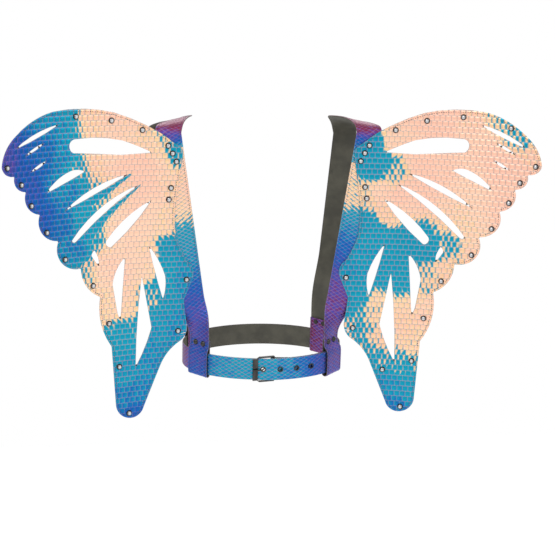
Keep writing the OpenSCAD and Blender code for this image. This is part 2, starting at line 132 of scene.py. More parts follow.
class WingColours(bpy.types.PropertyGroup):
    peach: paint("Peach", "Foil seen straight on", (255, 207, 178))
    cream: paint("Cream", "Foil just before it turns", (250, 208, 160))
    turquoise: paint("Turquoise", "Foil at a slight turn", (0, 153, 181))
    azure: paint("Azure", "Foil at a medium turn", (2, 112, 177))
    cobalt: paint("Cobalt", "Foil at a steep turn", (14, 88, 172))
    violet: paint("Violet", "Foil past cobalt", (88, 70, 160))
    maroon: paint("Maroon", "Foil at the steepest turn", (120, 36, 70))
    lining: paint("Lining", "Grey lining leather", (74, 72, 62))
    thread: paint("Thread", "Sewing thread", (84, 74, 80))
    nickel: paint("Gunmetal", "Rivets, eyelets and buckle", (150, 148, 146))
    floor: paint("Floor", "Floor under the wings", (250, 250, 250))


def sizes():
    return bpy.context.scene.harness_wing_sizes


def colours():
    return bpy.context.scene.harness_wing_colours


# ---- plan of one wing ------------------------------------------------------------

# Rows are u, v and the bulge of the arc to the next row: the tangent of a quarter
# of its angle, positive outwards.
OUTLINE = [
    (-36, 0, 0), (-9, 28, .06), (60, 73, .1), (152, 92, .14), (212, 70, .2),
    (241.6, 30, .42), (225, 12, .5), (212, -15, .48), (197, -54, .53),
    (175, -101, .6), (148, -152, .3), (125, -204, .2), (119.5, -287, 0),
    (127, -380, .4), (107, -410, .35), (84, -398, 0), (47, -336, -.15),
    (12, -304, .28), (-4, -281, 0), (-5, -238, 0), (-26, -203, .3),
    (-19, -178, -.05), (-7, -137, -.07), (-15, -77, 0), (-34, -15, .1)]
CUTS = [
    [(10, 2, .03), (54, 29, .085), (124, 44.5, .45), (136, 36, .25), (132, 24.5, 0),
     (59, 7, 0)],
    [(145, 72, .13), (219, 50, .06)],
    [(172, 49.5, .14), (205, 36.5, .1)],
    [(173, 23, .12), (201, 11.5, .17)],
    [(118, -7, .2), (139, -1, .12), (172, -16, .15), (181, -25.5, .02)],
    [(51.5, -24, .14), (160, -59.5, .035)],
    [(37, -43, .155), (156, -107, .4), (150, -110.5, -.043)],
    [(21.5, -70, .12), (102, -119, .6), (96, -131.5, .075)],
    [(119.5, -156, .05), (118.5, -144, .05), (123, -129, .1), (129, -136.5, .05)],
    [(79, -152.5, .15), (103, -189, 0), (102.5, -231, .1), (99, -249, 0),
     (78, -157, .3)],
    [(37.5, -141, .02), (27.5, -231, .12), (18.5, -194, .09)],
    [(55, -185, .03), (87, -331, .06), (52, -273, 0)]]
FOLD_U = 3.6
FREE_V = -292.0
ROOT = (170.7, -105.0, 324.0)
LEAN, PITCH, YAW = 9.0, 9.0, 4.0
# Reach of the grid: inwards from the fold, down, outwards and up
GRID_IN, GRID_LOW, GRID_OUT, GRID_HIGH = 44, -418, 246, 97


def closed_curve(rows):
    """Points of a closed plan line: on each arc with bulge b over a chord of half
    length h, the radius is h (1 + b^2) / (2 b) and the angle runs over 4 atan b."""
    out = []
    for (pu, pv, b), (qu, qv, _) in zip(rows, rows[1:] + rows[:1]):
        p, q = np.array([pu, pv], float), np.array([qu, qv], float)
        if abs(b) < 1e-3:
            out.append(p[None])
            continue
        h = np.linalg.norm(q - p) / 2
        d = (q - p) / (2 * h)
        o = np.array([-d[1], d[0]])
        r = h * (1 + b * b) / (2 * b)
        c = (p + q) / 2 - o * (r - b * h)
        w = 2 * math.atan(b)
        n = max(3, int(abs(math.degrees(w)) / 2.5))
        a = (-w + 2 * w * np.arange(n) / n)[:, None]
        out.append(c + r * (o * np.cos(a) + d * np.sin(a)))
    return np.concatenate(out)


def edge_field(points, loops):
    """For each point: distance to the nearest edge, positive inside the sheet, and
    that nearest edge point. Inside is where an odd number of edges lie to the right."""
    a = np.concatenate(loops)
    b = np.concatenate([np.roll(x, -1, axis=0) for x in loops])
    ab = b - a
    l2 = (ab ** 2).sum(1)
    dist = np.empty(len(points))
    near = np.empty_like(points)
    inside = np.empty(len(points), bool)
    for s in range(0, len(points), 6000):
        p = points[s:s + 6000, None, :]
        t = np.clip(((p - a) * ab).sum(2) / l2, 0, 1)
        q = a + t[..., None] * ab
        d = ((p - q) ** 2).sum(2)
        k = d.argmin(1)
        i = np.arange(len(k))
        dist[s:s + 6000] = np.sqrt(d[i, k])
        near[s:s + 6000] = q[i, k]
        up = (a[:, 1] > p[..., 1]) != (b[:, 1] > p[..., 1])
        dy = np.where(np.abs(ab[:, 1]) < 1e-9, 1e-9, ab[:, 1])
        x = a[:, 0] + (p[..., 1] - a[:, 1]) / dy * ab[:, 0]
        inside[s:s + 6000] = ((up & (p[..., 0] < x)).sum(1) % 2) == 1
    return np.where(inside, dist, -dist), near


class Plan:
    """Square grid over the wing plan. A cell is kept where its middle lies inside or
    less than SLACK outside, and a kept corner that touches a dropped cell slides to
    the nearest edge point."""

    SLACK = 0.3
    FOLD_CELLS = 5
    TURNED = slice(5, 7)

    def __init__(self, pitch):
        p = pitch
        u0 = FOLD_U - p * (round(GRID_IN / p) + 0.5)
        v0 = round(GRID_LOW / p) * p
        self.nc = int((GRID_OUT - u0) / p) + 1
        rows = int((GRID_HIGH - v0) / p) + 1
        loops = [closed_curve(OUTLINE)] + [closed_curve(c) for c in CUTS]
        u = u0 + p * np.arange(self.nc + 1)
        v = v0 + p * np.arange(rows + 1)
        uu, vv = np.meshgrid(u, v)
        cu, cv = np.meshgrid(u[:-1] + p / 2, v[:-1] + p / 2)
        mid, _ = edge_field(np.stack([cu.ravel(), cv.ravel()], 1), loops)
        self.kept = (mid > -self.SLACK).reshape(cu.shape)
        grid = np.stack([uu.ravel(), vv.ravel()], 1)
        dist, near = edge_field(grid, loops)
        pad = np.pad(self.kept, 1).astype(int)
        count = pad[:-1, :-1] + pad[1:, :-1] + pad[:-1, 1:] + pad[1:, 1:]
        rim = ((count > 0) & (count < 4)).ravel()
        self.pos = np.where(rim[:, None], near, grid)
        self.edge = np.where(rim, 0.0, np.maximum(dist, 0.0))
        # distance to the two cutouts with a turned side, and how far it lies below them, for the band of
        # painted reflection colour there
        cd, cn = edge_field(self.pos, [closed_curve(c) for c in CUTS[self.TURNED]])
        away = cn - self.pos
        self.cut = np.abs(cd)
        self.cut_side = (away @ np.array([0.55, 0.83])) / np.maximum(self.cut, 1e-6)
        # rows of scales lie level, so they are turned by the lean of the root
        a, s = math.radians(LEAN), sizes().scale / MM
        self.row = np.column_stack([
            (self.pos[:, 0] * math.cos(a) + self.pos[:, 1] * math.sin(a)) / s,
            (self.pos[:, 1] * math.cos(a) - self.pos[:, 0] * math.sin(a)) / s])
        self.low = int(round((FREE_V - v0) / p))
        self.col = int(round((FOLD_U - p * self.FOLD_CELLS / 2 - u0) / p))

    def cells(self, piece):
        """Cells of the root, the fold between root and panel, or the free panel."""
        r, c = np.indices(self.kept.shape)
        low, left, right = self.low, self.col, self.col + self.FOLD_CELLS
        panel = (r < low) | (c >= right)
        fold = (r > low) & (c >= left) & (c < right)
        root = (r > low) & (c < left)
        return self.kept & {"root": root, "fold": fold, "panel": panel}[piece]


def ease(t):
    t = np.clip(t, 0, 1)
    return t * t * (3 - 2 * t)


def turned(axis, degrees):
    """Rotation matrix about axis 0, 1 or 2."""
    c, s = math.cos(math.radians(degrees)), math.sin(math.radians(degrees))
    i, j = ((1, 2), (2, 0), (0, 1))[axis]
    m = np.eye(3)
    m[i, i] = m[j, j] = c
    m[i, j], m[j, i] = -s, s
    return m


def wing_axes():
    """Columns u, v, n of the right root in the part's frame."""
    return turned(2, -YAW) @ turned(1, LEAN) @ turned(0, 90 + PITCH)


def on_wing(uv, n, side):
    """Metres in the frame of plan points at height n. Outwards of the fold the sheet
    bends on a cylinder: height = R - sqrt((R - n)^2 - (u - fold)^2)."""
    r = sizes().bend / MM
    d = np.maximum(uv[:, 0] - FOLD_U, 0)
    z = r - np.sqrt((r - n) ** 2 - d * d)
    p = np.column_stack([uv[:, 0], uv[:, 1], z]) @ wing_axes().T + np.array(ROOT)
    p[:, 0] *= side
    return p * MM


# ---- meshes ----------------------------------------------------------------------


def new_piece(name, verts, faces, material, smooth=35.0, values=None):
    """Mesh object at the origin from vertex and face arrays, with point attributes."""
    mesh = bpy.data.meshes.new(name)
    mesh.from_pydata(verts.tolist(), [], faces.tolist())
    for key, arr in (values or {}).items():
        kind = "FLOAT" if arr.ndim == 1 else "FLOAT_VECTOR"
        at = mesh.attributes.new(key, kind, "POINT")
        at.data.foreach_set("value" if arr.ndim == 1 else "vector",
                            arr.astype(np.float32).ravel())
    mesh.update()
    mesh.shade_smooth()
    mesh.set_sharp_from_angle(angle=math.radians(smooth))
    mesh.materials.append(material)
    piece = bpy.data.objects.new(name, mesh)
    bpy.context.scene.collection.objects.link(piece)
    return piece


def shell(quads, count):
    """Closes two equal sheets of count vertices each: front faces, back faces turned
    over, and a wall on every edge that only one face uses."""
    e = np.concatenate([quads[:, [i, (i + 1) % 4]] for i in range(4)])
    key = e[:, 0].astype(np.int64) * count + e[:, 1]
    back_key = e[:, 1].astype(np.int64) * count + e[:, 0]
    rim = e[~np.isin(key, back_key)]
    wall = np.column_stack([rim[:, 1], rim[:, 0], rim[:, 0] + count, rim[:, 1] + count])
    return np.concatenate([quads, quads[:, ::-1] + count, wall])


def in_use(quads):
    """Grid points that the quads use, and the quads numbered over those alone."""
    used, inv = np.unique(quads, return_inverse=True)
    return used, inv.reshape(quads.shape)


def wing_sheet(name, plan, cells, front, back, side, material, tone=None):
    """Solid sheet over the kept cells. front and back are height arrays over the
    grid; the front falls off by a rounded edge."""
    r, c = np.nonzero(cells)
    w = plan.nc + 1
    a = r * w + c
    quads = np.column_stack([a, a + 1, a + w + 1, a + w])
    used, quads = in_use(quads)
    if side < 0:
        quads = quads[:, ::-1]
    uv = plan.pos[used]
    verts = np.concatenate([on_wing(uv, front[used], side), on_wing(uv, back[used], side)])
    sheet = np.column_stack([plan.row[used], plan.edge[used]])
    values = {"sheet": np.tile(sheet, (2, 1))}
    if tone is not None:
        values["tone"] = np.tile(tone[used], 2)
    return new_piece(name, verts, shell(quads, len(used)), material, values=values)


# Painted reflection colour: the foil's shift of colour with the angle of light and view, set as a tone at
# plan points u, v: 0 peach, .2 turning, .35 turquoise, .47 azure,
# .58 cobalt, .75 violet, .88 maroon. Each wing has its own table, as the light fell differently on each.
PAINTED_SHEEN_TONES = {
    -1: [(-28, 5, .26), (-8, 22, .2), (10, 10, .1), (-20, -60, .12), (20, -20, .05),
         (60, 50, .07), (60, 0, .04), (70, -50, .12), (100, 78, .13), (100, 10, .12),
         (128, 88, .3), (128, 5, .25), (150, 78, .4), (150, 20, .41), (152, -30, .42),
         (175, 30, .5), (170, -70, .47), (205, 20, .57), (236, 32, .66), (190, -60, .58),
         (215, -10, .6), (125, -75, .31), (100, -55, .22), (30, -75, .02), (60, -100, .0),
         (0, -100, .12), (90, -110, .05), (110, -110, .25), (150, -125, .42),
         (-14, -165, .36), (8, -165, .32), (40, -165, .1), (65, -165, .06),
         (110, -160, .05), (140, -160, .2), (-10, -215, .4), (20, -225, .33),
         (45, -225, .24), (95, -220, .1), (125, -220, .14), (5, -275, .4),
         (40, -275, .37), (100, -275, .28), (60, -330, .4), (105, -330, .36),
         (80, -375, .42), (110, -375, .44), (100, -405, .55)],
    1: [(-30, 5, .33), (-22, -18, .34), (-8, 14, .36), (0, -25, .34), (12, -15, .32),
        (28, -25, .21), (-22, -70, .14), (20, 20, .05), (60, 60, .03), (70, 0, .02),
        (-4, -70, .16), (15, -60, .05), (100, 80, .05), (130, 84, .1), (170, 82, .2),
        (205, 68, .21), (238, 35, .1), (150, 50, .03), (180, 10, .04), (120, -20, .03),
        (220, 0, .05), (190, -60, .04), (60, -60, .03), (140, -90, .12), (40, -95, .12),
        (-14, -112, .33), (15, -125, .34), (60, -128, .34), (100, -135, .33),
        (135, -122, .24), (165, -110, .1), (-18, -180, .37), (10, -180, .36),
        (50, -185, .34), (80, -190, .31), (110, -180, .2), (140, -165, .14),
        (10, -240, .3), (40, -245, .16), (95, -240, .13), (118, -240, .1),
        (20, -290, .24), (60, -295, .15), (100, -290, .14), (50, -325, .25),
        (100, -330, .25), (85, -370, .38), (115, -370, .36), (100, -405, .46)]}


def wing_tone(plan, side):
    """Painted reflection colour of the foil on the grid: a weighted mean of the given tones, each weight
    1 / (distance^2 + 12^2)^2.6. On the left wing two cutouts have a turned band
    along their lower sides, painted towards turquoise as reflection colour."""
    t = np.array(PAINTED_SHEEN_TONES[side], float)
    p = plan.pos
    d2 = ((p[:, None, :] - t[None, :, :2]) ** 2).sum(2)
    w = (d2 + 144.0) ** -2.6
    tone = (w * t[:, 2]).sum(1) / w.sum(1)
    if side < 0:
        below = ease((plan.cut_side - 0.1) / 0.5)
        wide = 2.0 + 0.13 * np.clip(p[:, 0] - 35, 0, 120)
        band = below * (1 - ease((plan.cut - wide * .5) / wide)) * (p[:, 0] > 30)
        tone = tone + np.clip(0.36 - tone, 0, 1) * band * 0.85
    return tone


# Heights of the layers: back of the root's foil leather, of the lining's top and the
# lift of the panel by its board. The fold rises over FOLD_HALF on both sides.
FACE_BACK, LINING_TOP, BOARD_LIFT, FOLD_HALF, EDGE_DROP = 1.1, 1.0, 1.1, 3.6, 0.42


def build_wings():
    s = sizes()
    fine, coarse = Plan(s.scale / MM / 6), Plan(s.scale / MM / 3)
    foil, lining = mats()["scale foil"], mats()["lining"]
    t = s.skin / MM
    for side, word in ((1, "right"), (-1, "left")):
        tone = wing_tone(fine, side)
        x, y = fine.row.T
        x = x + 0.5 * np.mod(np.floor(y), 2)
        dome = np.prod([np.cos(math.pi * (v - np.floor(v) - 0.5)) for v in (x, y)], axis=0)
        sink = (s.relief / MM) * (1 - np.clip(dome, 0, 1))
        sink = np.where(fine.edge > 0, sink, EDGE_DROP)
        rise = ease((fine.pos[:, 0] - (FOLD_U - FOLD_HALF)) / (2 * FOLD_HALF))
        rise = np.where(fine.pos[:, 1] < FREE_V, 1.0, rise)
        base = FACE_BACK + t + rise * BOARD_LIFT
        back = np.where(rise > 0.5, FACE_BACK - 0.05, FACE_BACK)
        for part, body in (("root", "harness"), ("fold", None), ("panel", "wing_" + word)):
            skin = wing_sheet(f"{part}_{word}_skin", fine, fine.cells(part), base - sink,
                              back, side, foil, tone)
            n = np.full(len(coarse.pos), LINING_TOP)
            cloth = wing_sheet(f"{part}_{word}_lining_leather", coarse, coarse.cells(part),
                               n, n - s.lining / MM, side, lining)
            for piece, slot in ((skin, "wing_skin"), (cloth, "lining")):
                if body:
                    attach(piece, body)
                else:
                    ends = np.array([[FOLD_U - 3.58, -150.0], [FOLD_U + 3.58, -150.0]])
                    e = on_wing(ends, np.array([1.5, 1.5]), side)
                    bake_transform(piece, "harness", "wing_" + word, tuple(e[0]), tuple(e[1]))
            if part == "root":
                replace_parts(skin, f"root_{word}_face")
                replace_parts(cloth, f"root_{word}_lining")
            if part == "panel":
                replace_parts(skin, f"wing_{word}_face", f"wing_{word}_board")
                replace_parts(cloth, f"wing_{word}_lining")


# ---- straps ----------------------------------------------------------------------

HALF_W, HALF_D = 128.0, 94.0
TILT = 10.0
BELT_H = 35.0
LOOP_F = 57.0
STRAP_W = 40.0
CREST = (131.0, 0.0, 378.0)
# Along v: where the strap lies flat at the back and front, and where its curve over
# the shoulder starts
BACK_FREE, FRONT_FREE, STRAP_TOP = -234.0, -176.0, 24.0
LEAF = 0.9
AIR = 0.1
TAIL_R = 2.9
BOW_R = ((HALF_W * math.cos(math.radians(LOOP_F))) ** 2
         + (HALF_D * math.sin(math.radians(LOOP_F))) ** 2) ** 1.5 / (HALF_W * HALF_D)
LOOP_OUT = 3.05
LOOP_IN = -(LOOP_OUT + STRAP_W ** 2 / (8 * BOW_R) + 0.3)
PINCH = LOOP_IN + 4 * LEAF + 3 * AIR + 0.1


def tip(p):
    """Belt coordinates turned into the part's frame by the tilt of the belt."""
    return np.asarray(p, float) @ turned(0, TILT).T


def rim(f, r):
    """Belt middle line at angle f from the middle of the back, moved out by r."""
    f = np.radians(f)
    n = np.stack([HALF_D * np.sin(f), -HALF_W * np.cos(f)], -1)
    n = n / np.linalg.norm(n, axis=-1, keepdims=True)
    place = np.stack([HALF_W * np.sin(f), -HALF_D * np.cos(f)], -1)
    return place + n * np.asarray(r)[..., None]


def rim3(f, r, z):
    q = rim(np.float64(f), np.float64(r))
    return tip([q[0], q[1], z])


def rim_dir(f):
    f = math.radians(f)
    t = np.array([HALF_W * math.cos(f), HALF_D * math.sin(f), 0])
    return tip(t / np.linalg.norm(t))


def bezier(a, b, c, d, t):
    return a * (1 - t) ** 3 + b * 3 * t * (1 - t) ** 2 + c * 3 * t * t * (1 - t) + d * t ** 3


def strap_stations(rout_back):
    """Middle points of the strap's outer surface and its width directions: from the
    leaf inside the belt at the back, round the belt, up the back, over the shoulder
    on a cubic curve, down the front, round the belt and up inside it."""
    m = wing_axes()
    eu, ev = m[:, 0], m[:, 1]
    o = np.array(ROOT)
    mid = 2 - STRAP_W / 2
    flip = np.array([1, -1, 1])
    h = BELT_H / 2

    def run(v):
        return o + eu * mid + ev * v

    def loop(f, rin, rout):
        rc, rr, w = (rin + rout) / 2, (rout - rin) / 2, rim_dir(f)
        turn = [(rc + rr * math.cos(a), -h - 1 + rr * math.sin(a))
                for a in (math.radians(180 + i * 22.5) for i in range(9))]
        rows = ([(rin - .1, h + 20), (rin - .1, h + 10), (rin - .05, h + 4), (rin, h - 2),
                 (rin, -h * .4)] + turn
                + [(rout, -h * .4), (rout, h + .5), ((rout + PINCH) / 2, h + 4.5),
                   (PINCH, h + 9), (PINCH, h + 20)])
        return [(rim3(f, r, z), w) for r, z in rows]

    def climb(f, low, start, gap, flip):
        """From the leaves above a loop onto the plane of the back or front, and up it."""
        a, d = rim3(f, PINCH, h + 20), run(start) * flip
        g = np.linalg.norm(d - a) / 3
        curve = [(bezier(a, a + tip([0, 0, g]), d - ev * flip * g, d, t),
                  low * (1 - ease(t)) + eu * flip * ease(t)) for t in np.arange(1, 12) / 12]
        heights = [*np.arange(start, STRAP_TOP, gap), STRAP_TOP]
        return curve + [(run(v) * flip, eu * flip) for v in heights]

    rise = climb(LOOP_F, rim_dir(LOOP_F), BACK_FREE, 43, np.ones(3))
    a, d = run(STRAP_TOP), np.array(CREST)
    g = (d[2] - a[2]) * .95
    e = np.array([math.cos(math.radians(15)), 0, -math.sin(math.radians(15))])
    over = [(bezier(a, a + ev * g, d - np.array([-4.0, 62.0, 0]), d, t), eu * (1 - t) + e * t)
            for t in np.arange(1, 15) / 14]
    down = climb(180 - LOOP_F, -rim_dir(180 - LOOP_F), FRONT_FREE, 39, flip)
    front = [(p, -w) for p, w in loop(180 - LOOP_F, LOOP_IN, LOOP_OUT)]
    over2 = [(p * flip, w * flip) for p, w in over[-2::-1]]
    rows = loop(LOOP_F, LOOP_IN, rout_back) + rise + over + over2 + (front + down)[::-1]
    return np.array([r[0] for r in rows]), np.array([r[1] for r in rows])


def smooth_path(p, w, step):
    """Stations at equal steps of arc length on the chord line, after the corners have
    been rounded over the neighbouring quarter of each chord."""
    def rounded(x):
        pair = np.stack([x[:-1] * .75 + x[1:] * .25, x[:-1] * .25 + x[1:] * .75], 1)
        return np.concatenate([x[:1], pair.reshape(-1, 3), x[-1:]])

    p, w = rounded(p), rounded(w)
    s = np.concatenate([[0], np.cumsum(np.linalg.norm(np.diff(p, axis=0), axis=1))])
    n = max(8, int(round(s[-1] / step)))
    t = np.linspace(0, s[-1], n + 1)
    return along(t, s, p), along(t, s, w), t


def along(t, s, points):
    """Points of a line at arc lengths t, where its own points lie at arc lengths s."""
    return np.stack([np.interp(t, s, x) for x in points.T], 1)


def strip_axes(p, w):
    """Unit width directions square to the line p, and the outward normals."""
    tangent = np.gradient(p, axis=0)
    tangent /= np.linalg.norm(tangent, axis=1, keepdims=True)
    w = w - tangent * (w * tangent).sum(1, keepdims=True)
    w /= np.linalg.norm(w, axis=1, keepdims=True)
    return w, np.cross(w, tangent)


NET_DEPTH, STRIP_EDGE, STRIP_PITCH = 0.18, 0.3, 1.3


def ribbon(name, p, w, s, width, front, back, material, tone, side=1, holes=(), net=None):
    """Strip solid: cross lines of constant arc length s and lengthwise lines at
    constant distance c across. front and back are depths below the outer surface,
    the front rising over each cell of the net and rounded at both edges. Holes have
    round ends and are given by place, half length and radius."""
    w, normal = strip_axes(p, w)
    half = width / 2
    inner = np.linspace(-half + .5, half - .5, int(round(width / STRIP_PITCH)))
    c = np.concatenate([[-half], inner, [half]])
    edge = half - np.abs(c)
    ss, cc = np.meshgrid(s, c, indexing="ij")
    sz = sizes()
    long_, short = sz.net_long / MM, sz.net_short / MM
    gx, gy = cc / long_, ss / short
    if net == "along":
        gx, gy = ss / long_, cc / short
    lift = 0.5 + 0.5 * np.cos(2 * math.pi * gx) * np.cos(2 * math.pi * gy)
    sink = (NET_DEPTH * (1 - lift)) * (front == 0)
    sink = np.where(edge[None, :] < .1, STRIP_EDGE, sink)
    mid = p[:, None, :] + w[:, None, :] * cc[..., None]
    top = (mid - normal[:, None, :] * (front + sink)[..., None]).reshape(-1, 3)
    bot = (mid - normal[:, None, :] * back).reshape(-1, 3)
    nr, nc = ss.shape[0] - 1, ss.shape[1] - 1
    r, k = np.indices((nr, nc))
    keep = np.ones((nr, nc), bool)
    cs, ck = (s[:-1] + s[1:]) / 2, (c[:-1] + c[1:]) / 2
    for place, reach, radius in holes:
        past = np.maximum(np.abs(cs[:, None] - place) - (reach - radius), 0)
        keep &= np.hypot(past, ck[None, :]) > radius
    a = (r * (nc + 1) + k)[keep]
    quads = np.column_stack([a, a + 1, a + nc + 2, a + nc + 1])
    used, quads = in_use(quads)
    verts = np.concatenate([top[used], bot[used]]) * MM
    verts[:, 0] *= side
    faces = shell(quads if side > 0 else quads[:, ::-1], len(used))
    e = np.broadcast_to(edge[None, :], ss.shape).ravel()[used]
    sheet = np.column_stack([gx.ravel()[used], gy.ravel()[used], e])
    tn = np.broadcast_to(tone[:, None], ss.shape).ravel()[used]
    return new_piece(name, verts, faces, material,
                     values={"sheet": np.tile(sheet, (2, 1)), "tone": np.tile(tn, 2)})


def strap_tone(p, side):
    """Painted reflection colour along a strap, as a tone from its height z and side: down the back it turns
    from peach through turquoise and cobalt to violet, and over the shoulder to maroon. This is the foil's
    shift of colour with the angle of light and view, fixed in place."""
    z = p[:, 2]
    back = p[:, 1] < 0
    left = ([-30, 20, 50, 75, 100, 130, 160, 200, 232, 300, 325, 340, 352, 368],
            [.62, .64, .7, .66, .6, .48, .38, .3, .14, .08, .1, .56, .76, .92])
    right = ([-30, 20, 50, 85, 120, 150, 185, 218, 245, 300, 325, 340, 352, 368],
             [.72, .72, .77, .77, .73, .58, .5, .36, .16, .14, .4, .56, .78, .92])
    zs, ts = left if side < 0 else right
    rear = np.interp(z, zs, ts)
    far = np.interp(z, [-30, 100, 250, 350, 380], [.84, .78, .6, .7, .9])
    return np.where(back, rear, far)


def back_loop(side):
    """Depth of the loop at the back: the right one also holds the belt's tail."""
    return LOOP_OUT + (TAIL_R + .2 if side > 0 else 0)


def build_straps():
    foil, lining = mats()["net foil"], mats()["lining"]
    for side, word in ((1, "right"), (-1, "left")):
        p, w, s = smooth_path(*strap_stations(back_loop(side)), 1.9)
        tone = strap_tone(p, side)
        skin = ribbon(f"strap_{word}_skin", p, w, s, STRAP_W, 0.0, LEAF, foil, tone, side)
        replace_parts(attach(skin, "harness"), f"strap_{word}_face")
        cloth = ribbon(f"strap_{word}_lining_leather", p, w, s, STRAP_W, LEAF + AIR,
                       2 * LEAF + AIR, lining, tone, side)
        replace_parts(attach(cloth, "harness"), f"strap_{word}_lining")


# ---- belt ------------------------------------------------------------------------

HEEL_F, HEEL_R, CHAPE_F, TAIL_F = 2.95, -2.75, 14.0, 420.0
EYES = (-8.8, 18.0, 44.0, 68.0)
TURN_R = -2.0
TAIL_LENGTH, TURNED_LENGTH = 260, 80
EYE_HOLE_R, SLOT_HALF, SLOT_R = 3.8, 11.4, 3.6


def tail_lift(f):
    return TAIL_R * ease((f - 351) / 11)


def belt_path():
    """Middle line of the belt: turned end, half turn round the heel bar, once round
    the waist on the ellipse and over itself as the tail."""
    k = abs(HEEL_R) + .05
    heel = rim(np.float64(HEEL_F), np.float64(HEEL_R))
    t = np.arange(7) / 6
    start = rim(CHAPE_F - (CHAPE_F - HEEL_F) * t, TURN_R + (HEEL_R - k - TURN_R) * ease(t))
    a = np.radians(90 + 20 * np.arange(1, 9))[:, None]
    turn = heel + k * np.concatenate([np.cos(a), np.sin(a)], 1)
    f = np.arange(HEEL_F, TAIL_F + .01, 1.5)
    return np.concatenate([start, turn, rim(f, .05 + tail_lift(f))])


def build_belt():
    foil, lining = mats()["net foil"], mats()["lining"]
    q = belt_path()
    p3 = tip(np.column_stack([q, np.zeros(len(q))]))
    w3 = np.tile(tip([0, 0, -1.0]), (len(q), 1))
    p, w, s = smooth_path(p3, w3, 1.3)
    # arc lengths where the tail passes an eyelet and the turned end the heel bar
    x, y = p[:, 0], p[:, 1]
    tail = (s > s[-1] - TAIL_LENGTH) & (y < 0)
    holes = [(s[np.argmin(np.where(tail, np.abs(x - e), 1e9))], EYE_HOLE_R, EYE_HOLE_R)
             for e in EYES]
    holes.append((s[np.argmin(np.where(s < TURNED_LENGTH, x, 1e9))], SLOT_HALF, SLOT_R))
    ang = np.degrees(np.arctan2(x / HALF_W, -y / HALF_D))
    # painted reflection colour: seen from behind the wearer the belt goes from turquoise on the left over
    # azure to violet by the right loop, and to maroon at both sides, the foil's shift of colour with angle
    # fixed in place
    tone = np.interp(ang, [-180, -95, -62, -50, -40, -20, 0, 20, 36, 50, 62, 95, 180],
                     [.8, .84, .72, .5, .41, .35, .38, .45, .6, .66, .76, .86, .8])
    mid = p + strip_axes(p, w)[1] * (AIR / 2 + LEAF)
    skin = ribbon("belt_skin", mid, w, s, BELT_H, 0.0, LEAF, foil, tone, 1, holes, "along")
    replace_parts(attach(skin, "harness"), "belt_face")
    cloth = ribbon("belt_lining_leather", mid, w, s, BELT_H, LEAF + AIR, 2 * LEAF + AIR,
                   lining, tone, 1, holes, "along")
    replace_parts(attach(cloth, "harness"), "belt_lining")


# ---- stitches --------------------------------------------------------------------


def thread_run(points, normals, pitch, size):
    """Stitches along a line: at each pitch one bead of length .62 pitch, a half-sunk
    six-sided spindle whose radius at share t of its length is size/2 sqrt(1-(2t-1)^4)."""
    d = np.linalg.norm(np.diff(points, axis=0), axis=1)
    s = np.concatenate([[0], np.cumsum(d)])
    n = max(2, int(s[-1] / pitch))
    at = (np.arange(n) + .5) * s[-1] / n
    half = .31 * pitch
    a, b, nn = along(at - half, s, points), along(at + half, s, points), along(at, s, normals)
    axis = b - a
    length_ = np.linalg.norm(axis, axis=1, keepdims=True)
    axis = axis / length_
    nn = nn - axis * (nn * axis).sum(1, keepdims=True)
    nn /= np.linalg.norm(nn, axis=1, keepdims=True)
    side = np.cross(axis, nn)
    t = np.array([.04, .3, .7, .96])
    r = size / 2 * np.sqrt(1 - (2 * t - 1) ** 4)
    k = np.radians(np.arange(6) * 60.0)
    ring = (nn[:, None, None, :] * np.cos(k)[:, None]
            + side[:, None, None, :] * np.sin(k)[:, None]) * r[:, None, None]
    mid = a[:, None, :] + axis[:, None, :] * (t[None, :, None] * length_[:, None, :])
    verts = (mid[:, :, None, :] + ring).reshape(-1, 3)
    faces = []
    for i in range(3):
        for j in range(6):
            jn = (j + 1) % 6
            faces.append([i * 6 + j, i * 6 + jn, (i + 1) * 6 + jn, (i + 1) * 6 + j])
    for i, order in ((0, (5, 4, 3, 2, 1, 0)), (3, (0, 1, 2, 3, 4, 5))):
        o = [i * 6 + j for j in order]
        faces += [[o[0], o[1], o[2], o[3]], [o[0], o[3], o[4], o[5]]]
    faces = np.array(faces)
    faces = (faces[None] + 24 * np.arange(n)[:, None, None]).reshape(-1, 4)
    return verts, faces


def joined(name, runs, material, body):
    vs, fs, base = [], [], 0
    for v, f in runs:
        vs.append(v)
        fs.append(f + base)
        base += len(v)
    piece = new_piece(name, np.concatenate(vs), np.concatenate(fs), material, smooth=70)
    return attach(piece, body)


def inset_line(rows, d):
    """A closed plan line moved in by d and thinned to even steps; points nearer than
    .97 d to the edge, where it would cross itself at a corner, are left out."""
    c = closed_curve(rows)
    c = np.concatenate([c, c[:1]])
    s = np.concatenate([[0], np.cumsum(np.linalg.norm(np.diff(c, axis=0), axis=1))])
    t = np.linspace(0, s[-1], int(s[-1] / 1.2))
    c = along(t, s, c)
    g = np.gradient(c, axis=0)
    g /= np.linalg.norm(g, axis=1, keepdims=True)
    p = c + np.column_stack([g[:, 1], -g[:, 0]]) * d
    dist, _ = edge_field(p, [closed_curve(rows)])
    return p, dist > .97 * d


def split_runs(p, ok):
    """Separate stretches of a line where ok holds, each of four points or more."""
    cut = np.flatnonzero(np.diff(ok.astype(int))) + 1
    return [x for x, k in zip(np.split(p, cut), np.split(ok, cut)) if k[0] and len(x) > 4]


# Heights of the seams, and how far they stop from the fold and from the root's end
WING_SEAM, ROOT_SEAM, SEAM_END, SEAM_LOW = 3.02, 1.92, 4.5, 4


